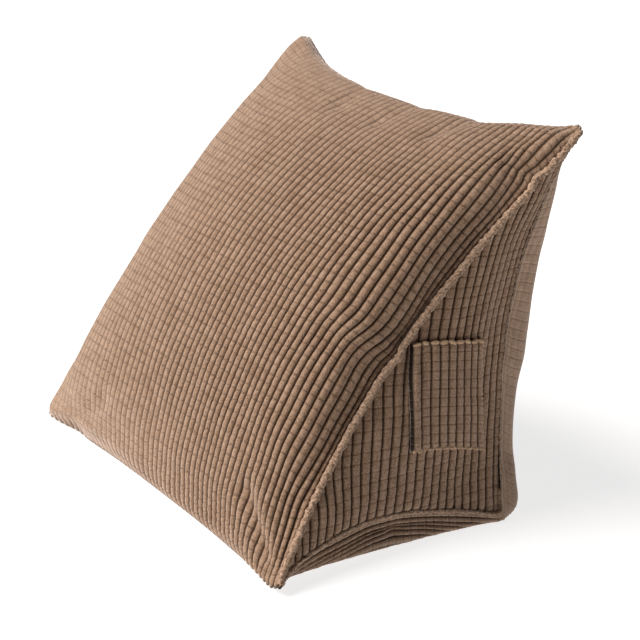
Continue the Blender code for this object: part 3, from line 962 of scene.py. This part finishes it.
def welt_tree(material):
    """Sweeps a flattened round along a seam with an uneven twist, and roughens it."""
    tree, given = shape_tree("roll_welt", {
        "Step": WELT_STEP, "Twist Length": WELT_TWIST, "Flatness": WELT_FLAT,
        "Roughness": WELT_ROUGH, "Roughness Scale": WELT_ROUGH_SCALE, "Twist Wander": WELT_WANDER})
    path = add(tree, "GeometryNodeMeshToCurve", inputs={"Mesh": given["Geometry"]})
    even = add(tree, "GeometryNodeResampleCurve", {"mode": "LENGTH"},
               {"Curve": path, "Length": given["Step"]})
    girth = add(tree, "GeometryNodeInputNamedAttribute", inputs={"Name": "girth"})
    sized = add(tree, "GeometryNodeSetCurveRadius", inputs={"Curve": even, "Radius": girth})
    along = add(tree, "GeometryNodeSplineParameter").outputs["Length"]
    turns = add(tree, "ShaderNodeMath", "DIVIDE", (along, given["Twist Length"]))
    wander = add(tree, "ShaderNodeTexNoise", inputs={"Scale": 45.0, "Detail": 1.0})
    turned = add(tree, "ShaderNodeMath", "MULTIPLY_ADD", (wander, given["Twist Wander"], turns))
    angle = add(tree, "ShaderNodeMath", "MULTIPLY", (turned, 2 * math.pi))
    twisted = add(tree, "GeometryNodeSetCurveTilt", inputs={"Curve": sized, "Tilt": angle})
    circle = add(tree, "GeometryNodeCurvePrimitiveCircle", inputs={"Resolution": 8, "Radius": 1.0})
    flat = add(tree, "ShaderNodeCombineXYZ", inputs=(1.0, given["Flatness"], 1.0))
    oval = add(tree, "GeometryNodeTransform", inputs={"Geometry": circle, "Scale": flat})
    tube = add(tree, "GeometryNodeCurveToMesh", inputs={
        "Curve": twisted, "Profile Curve": oval, "Scale": girth, "Fill Caps": True})
    lumps = add(tree, "ShaderNodeTexNoise", inputs={"Scale": given["Roughness Scale"], "Detail": 1.0})
    centred = add(tree, "ShaderNodeVectorMath", "SUBTRACT", (lumps.outputs["Color"], (0.5, 0.5, 0.5)))
    offset = add(tree, "ShaderNodeVectorMath", "SCALE", {0: centred, "Scale": given["Roughness"]})
    rough = add(tree, "GeometryNodeSetPosition", inputs={"Geometry": tube, "Offset": offset})
    return close_tree(tree, rough, material)


def path_object(name, line, closed, girth):
    """A chain of edges through a line of points, with the girth of what follows it at each point."""
    count = len(line)
    edges = [(k, (k + 1) % count) for k in range(count if closed else count - 1)]
    data = bpy.data.meshes.new(name)
    data.from_pydata(np.asarray(line).tolist(), edges, [])
    attribute = data.attributes.new("girth", "FLOAT", "POINT")
    attribute.data.foreach_set("value", np.broadcast_to(girth, count).astype(np.float32))
    return in_scene(name, data)


def eased(values):
    """Values round a seam, blurred so that one part runs gently into the next."""
    for _ in range(WELT_BLURS):
        values = 0.25 * np.roll(values, 1) + 0.5 * values + 0.25 * np.roll(values, -1)
    return values


seam_tree = welt_tree(welt_plush)
girth = np.array([WELT_RADIUS[int(place)] for place in places])
lift = eased(np.where(places >= SLOPE, hump(places - SLOPE, 0.5, 0.5), 0.0))
welts = []
for side, label, out_share, girth_share in WELT_ENDS:
    seam = strip_fine[:, -1 if side > 0 else 0].copy()
    proud = seam - strip_fine.mean(axis=(0, 1))
    proud *= WELT_UP / np.linalg.norm(proud, axis=1, keepdims=True)
    proud[:, 0] = side * WELT_OUT * out_share
    seam += proud * lift[:, None]
    end_girth = eased(girth * girth_share)
    seam[:, 2] = np.maximum(seam[:, 2], end_girth + WELT_CLEAR)
    path = path_object("seam", seam, True, end_girth)
    welts.append(grown(path, seam_tree, f"welt_{label}", {"Step": WELT_STEP}))

# %% [markdown]
# ## The patch pocket
#
# A piece of the same plush, ribs upright, is laid on the end panel and sewn down along its top, its foot and
# its back edge. Its front edge is a folded rib that stands a little off the panel, so a dark slit shows
# beside it, deepened by painted shade along the mouth edge, and the foot gets painted shade too. It could be
# a flat sheet pressed on by the simulation, but its place is known on the panel's own ribs, so it is one thin
# closed sheet that follows the panel under it.

# %% Shape of the pocket
# The corners are given as ribs from the toe and as a level, a share of the panel's height at the back, so
# that the edges between them are straight
POCKET_CORNERS = dict(low_mouth=(16.0, 0.182), high_mouth=(15.1, 0.485),
                      low_back=(25.4, 0.167), high_back=(23.7, 0.457))
POCKET_RIBS = 9
POCKET_KERNELS = 12
POCKET_GAP = 0.0004
POCKET_THICK = 0.0044
EDGE_THICK = 0.0012
GAPE = 0.0038
GAPE_SHIFT = 0.30
GAPE_RIBS = 1.5
FOLD_THICK, FOLD_WAVE, FOLD_WAVES = 0.0014, 0.0007, 11.0


def gaping(across, up):
    """How loose the pocket is at a place: 1 half way up the mouth, 0 where it is sewn."""
    return (1 - smooth_step(across * POCKET_RIBS / GAPE_RIBS)) * hump(up, 0.5, 0.5)


def pocket_places(across, up):
    """Rib share and rise on the panel for a place on the pocket, from 0 to 1 both ways."""
    corner = {name: np.array(place) for name, place in POCKET_CORNERS.items()}
    a, u = across[..., None], up[..., None]
    low = (1 - a) * corner["low_mouth"] + a * corner["low_back"]
    high = (1 - a) * corner["high_mouth"] + a * corner["high_back"]
    place = (1 - u) * low + u * high
    rib = gathered((place[..., 0] - GAPE_SHIFT * gaping(across, up)) / RIBS_ON_PANEL)
    return rib, place[..., 1] / rib


def pocket_point(across, up, above):
    """Point that lies above the end panel on the pocket."""
    across, up = np.broadcast_arrays(across, up)
    point = panel_surface(1, *pocket_places(across, up))
    thicker = FOLD_THICK + FOLD_WAVE * np.sin(FOLD_WAVES * up + 1.0)
    fold = np.sin(np.pi * np.clip(across * POCKET_RIBS, 0, 1)) * thicker
    point[..., 0] += POCKET_GAP + GAPE * gaping(across, up) + above * (1.0 + fold / POCKET_THICK)
    return point


pocket_mid = pocket_point(0.5, 0.5, POCKET_THICK)
print("middle of the pocket", [round(float(c), 3) for c in pocket_mid])

# %% Pocket
EDGE_ROUND = 0.5
EDGE_RELIEF = 0.3
# Width of the painted shade at the pocket's mouth edge and foot, and its strength at the foot
SHADED_EDGE = 0.02
FOOT_SHADE = 0.7
POCKET_RIB_DEPTH = 0.0026
POCKET_KERNEL_DEPTH = 0.0004

pocket_steps = np.append((np.arange(POCKET_RIBS)[:, None] + PHASES).ravel(), POCKET_RIBS) / POCKET_RIBS
pocket_levels = np.linspace(0, 1, 2 * POCKET_KERNELS + 1)
across, up = np.meshgrid(pocket_steps, pocket_levels, indexing="ij")
rib_count, kernel_count = across * POCKET_RIBS, up * POCKET_KERNELS
edge = np.minimum.reduce([rib_count, (1 - across) * POCKET_RIBS, kernel_count, (1 - up) * POCKET_KERNELS])
rounding = np.sqrt(1.0 - (1.0 - np.clip(edge / EDGE_ROUND, 0, 1)) ** 2)
over = pocket_point(across, up, EDGE_THICK + (POCKET_THICK - EDGE_THICK) * rounding)
under = pocket_point(across, up, 0.0)
count = across.size
grid = np.arange(count).reshape(across.shape)
front = grid_faces(grid.T, False)
rim = np.concatenate([grid[:, 0], grid[-1, 1:], grid[-2::-1, -1], grid[0, -2:0:-1]])
following = np.roll(rim, -1)
walls = np.stack([rim, rim + count, following + count, following], axis=-1)
pocket_data = bpy.data.meshes.new("pocket_patch")
pocket_data.from_pydata(np.concatenate([over.reshape(-1, 3), under.reshape(-1, 3)]).tolist(), [],
                        np.concatenate([front, front[:, ::-1] + count, walls]).tolist())
pocket_map = np.stack([rib_count.ravel(), kernel_count.ravel()], axis=1)[corner_points(pocket_data) % count]
# Painted shade along the mouth edge, for the slit under the raised fold, and weaker along the foot
dark = np.maximum(across < SHADED_EDGE, FOOT_SHADE * (up < SHADED_EDGE))
smooth_pocket = finished(pocket_data, pocket_map, {
    "rib": np.tile(rib_count.ravel(), 2),
    "kernel": np.tile(kernel_count.ravel(), 2),
    "relief": np.concatenate([np.clip(edge / EDGE_RELIEF, 0, 1).ravel(), np.zeros(count)]),
    "tuck": np.tile(dark.ravel(), 2),
    "crease_shade": np.full(2 * count, PANEL_CREASE_SHADE)})
pocket = grown(smooth_pocket, ribs_tree, "pocket_patch",
               {"Rib Depth": POCKET_RIB_DEPTH, "Kernel Depth": POCKET_KERNEL_DEPTH})

# %% [markdown]
# ## Stitches
#
# The pocket is sewn down with rows of short stitches. On top one thick stitch holds each rib and on the back
# edge they are short and fine, while along the foot they ride up and down over the ends of the ribs. They
# could be a dashed line in the material, but each is a little grain of thread that catches the light. They
# follow the edge at an even step, so a tree sets one grain on every point of a resampled curve, turned along
# the curve and shaken a little.

# %% Thread
THREAD_LIGHT = "#cfae8f"
THREAD_DARK = "#967759"
THREAD_FLECK_MM = 0.9
# Spun polyester is fuzzy and matt, so the finish of the rubbed plush serves, paler and with finer flecks,
# which still are coarser than the real twist of the thread
thread = rubbed_plush("spun_polyester_thread", THREAD_LIGHT, THREAD_DARK, THREAD_FLECK_MM)
print("thread flecks", THREAD_FLECK_MM, "mm")

# %% Rows of stitches
STITCH_LENGTH = 0.0044
STITCH_STEP = 0.0054
STITCH_GIRTH = 0.0011
STITCH_SHAKE = 0.35
STITCH_LOW = 0.0022
STITCH_RIDE = 0.0018
FLAT_RIDE = 0.35
LINE_POINTS = 60


def stitch_tree(material):
    """Sets a grain of thread on every step of a line."""
    tree, given = shape_tree("row_of_stitches", {
        "Step": STITCH_STEP, "Stitch Length": STITCH_LENGTH, "Thread Girth": STITCH_GIRTH, "Seed": 4})
    path = add(tree, "GeometryNodeMeshToCurve", inputs={"Mesh": given["Geometry"]})
    even = add(tree, "GeometryNodeCurveToPoints", {"mode": "LENGTH"},
               {"Curve": path, "Length": given["Step"]})
    half = add(tree, "ShaderNodeMath", "MULTIPLY", (given["Stitch Length"], 0.5))
    size = add(tree, "ShaderNodeCombineXYZ", inputs={
        0: given["Thread Girth"], 1: given["Thread Girth"], 2: half})
    grain = add(tree, "GeometryNodeMeshUVSphere", inputs={"Segments": 8, "Rings": 6, "Radius": 1.0})
    stitch = add(tree, "GeometryNodeTransform", inputs={"Geometry": grain, "Scale": size})
    shake = add(tree, "FunctionNodeRandomValue", {"data_type": "FLOAT_VECTOR"}, {
        "Min": (-STITCH_SHAKE, -STITCH_SHAKE, 0.0), "Max": (STITCH_SHAKE, STITCH_SHAKE, 0.0),
        "Seed": given["Seed"]})
    placed = add(tree, "GeometryNodeInstanceOnPoints", inputs={
        "Points": even, "Instance": stitch, "Rotation": even.outputs["Rotation"]})
    turned = add(tree, "GeometryNodeRotateInstances", inputs={"Instances": placed, "Rotation": shake})
    return close_tree(tree, turned, material)


stitch_line_tree = stitch_tree(thread)
# Places across and up the pocket, length and girth of a stitch
runs = {
    "top": (np.linspace(0.5, POCKET_RIBS - 0.5, LINE_POINTS) / POCKET_RIBS, 0.998, 0.0094, 0.0024),
    "foot": (np.linspace(0.02, 0.98, LINE_POINTS), 0.020, 0.0034, 0.0020),
    "back": (0.985, np.linspace(0.04, 0.96, LINE_POINTS), STITCH_LENGTH, STITCH_GIRTH),
}
stitches = []
for label, (a, u, stitch_length, stitch_girth) in runs.items():
    roll = np.abs(np.sin(np.pi * a * POCKET_RIBS)) if label == "foot" else FLAT_RIDE
    line = pocket_point(a, u, STITCH_LOW + STITCH_RIDE * roll ** 0.6)
    run_length = float(np.linalg.norm(np.diff(line, axis=0), axis=1).sum())
    step = run_length * 0.99999 / (POCKET_RIBS - 1) if label == "top" else STITCH_STEP
    path = path_object(f"run_{label}", line, False, stitch_girth)
    stitches.append(grown(path, stitch_line_tree, f"stitches_pocket_{label}", {
        "Step": step, "Stitch Length": stitch_length, "Thread Girth": stitch_girth}))

# %% [markdown]
# ## Floor and light
#
# The cushion is shown on white, lit softly from the front left and above, so the slope is bright and the end
# panel a third darker. Area lights could do it, but one broad sun has the same strength everywhere. The rest
# comes from the pale paper that carries the cushion, which glows a little and so keeps the foot bright, and
# from a weak white world.

# %% Floor
FLOOR_HALF = 12.0
PAPER = "#aaa9a7"
PAPER_GLOW = 0.78
WHITE = "#ffffff"

floor_data = bpy.data.meshes.new("floor")
floor_data.from_pydata([(-FLOOR_HALF, -FLOOR_HALF, 0), (FLOOR_HALF, -FLOOR_HALF, 0),
                        (FLOOR_HALF, FLOOR_HALF, 0), (-FLOOR_HALF, FLOOR_HALF, 0)], [], [(0, 1, 2, 3)])
floor = in_scene("floor", floor_data)
# Uncoated paper is matt, and its glow stands for the white studio floor going on all round
paper, paper_tree, paper_shader = bare_material("matt_white_paper")
feed(paper_tree, paper_shader, {
    "Base Color": linear(PAPER), "Roughness": 0.9, "Specular IOR Level": 0.1,
    "Emission Color": linear(WHITE), "Emission Strength": PAPER_GLOW})
floor_data.materials.append(paper)
print("floor", 2 * FLOOR_HALF, "m wide")

# %% Lights
KEY_FROM = (-0.37, -0.62, 0.69)
KEY_STRENGTH = 5.2
KEY_SOFTNESS = 40.0
KEY_COLOUR = "#fffaf6"
WORLD_STRENGTH = 0.05

key_data = bpy.data.lights.new("key", "SUN")
key_data.energy = KEY_STRENGTH
key_data.angle = math.radians(KEY_SOFTNESS)
key_data.color = linear(KEY_COLOUR)[:3]
key = in_scene("key", key_data)
towards = np.array(KEY_FROM) / np.linalg.norm(KEY_FROM)
level = np.cross((0.0, 0.0, 1.0), towards)
level /= np.linalg.norm(level)
directions = [(*axis, 0.0) for axis in (level, np.cross(towards, level), towards)]
key.matrix_world = Matrix([*directions, (0.0, 0.0, 2.0, 1.0)]).transposed()
world = bpy.data.worlds.new("white_studio")
bpy.context.scene.world = world
world.use_nodes = True
feed(world.node_tree, world.node_tree.nodes["Background"], {
    "Color": linear(WHITE), "Strength": WORLD_STRENGTH})
bpy.context.scene.view_settings.view_transform = "Standard"
print("key light", KEY_STRENGTH, "world", WORLD_STRENGTH)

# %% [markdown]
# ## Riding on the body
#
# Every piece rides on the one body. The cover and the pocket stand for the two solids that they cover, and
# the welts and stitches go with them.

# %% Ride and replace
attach(cover, "root")
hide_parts("cushion")
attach(pocket, "root")
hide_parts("pocket")
for welt in welts:
    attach(welt, "root")
for row in stitches:
    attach(row, "root")
print("pieces", 2 + len(welts) + len(stitches))
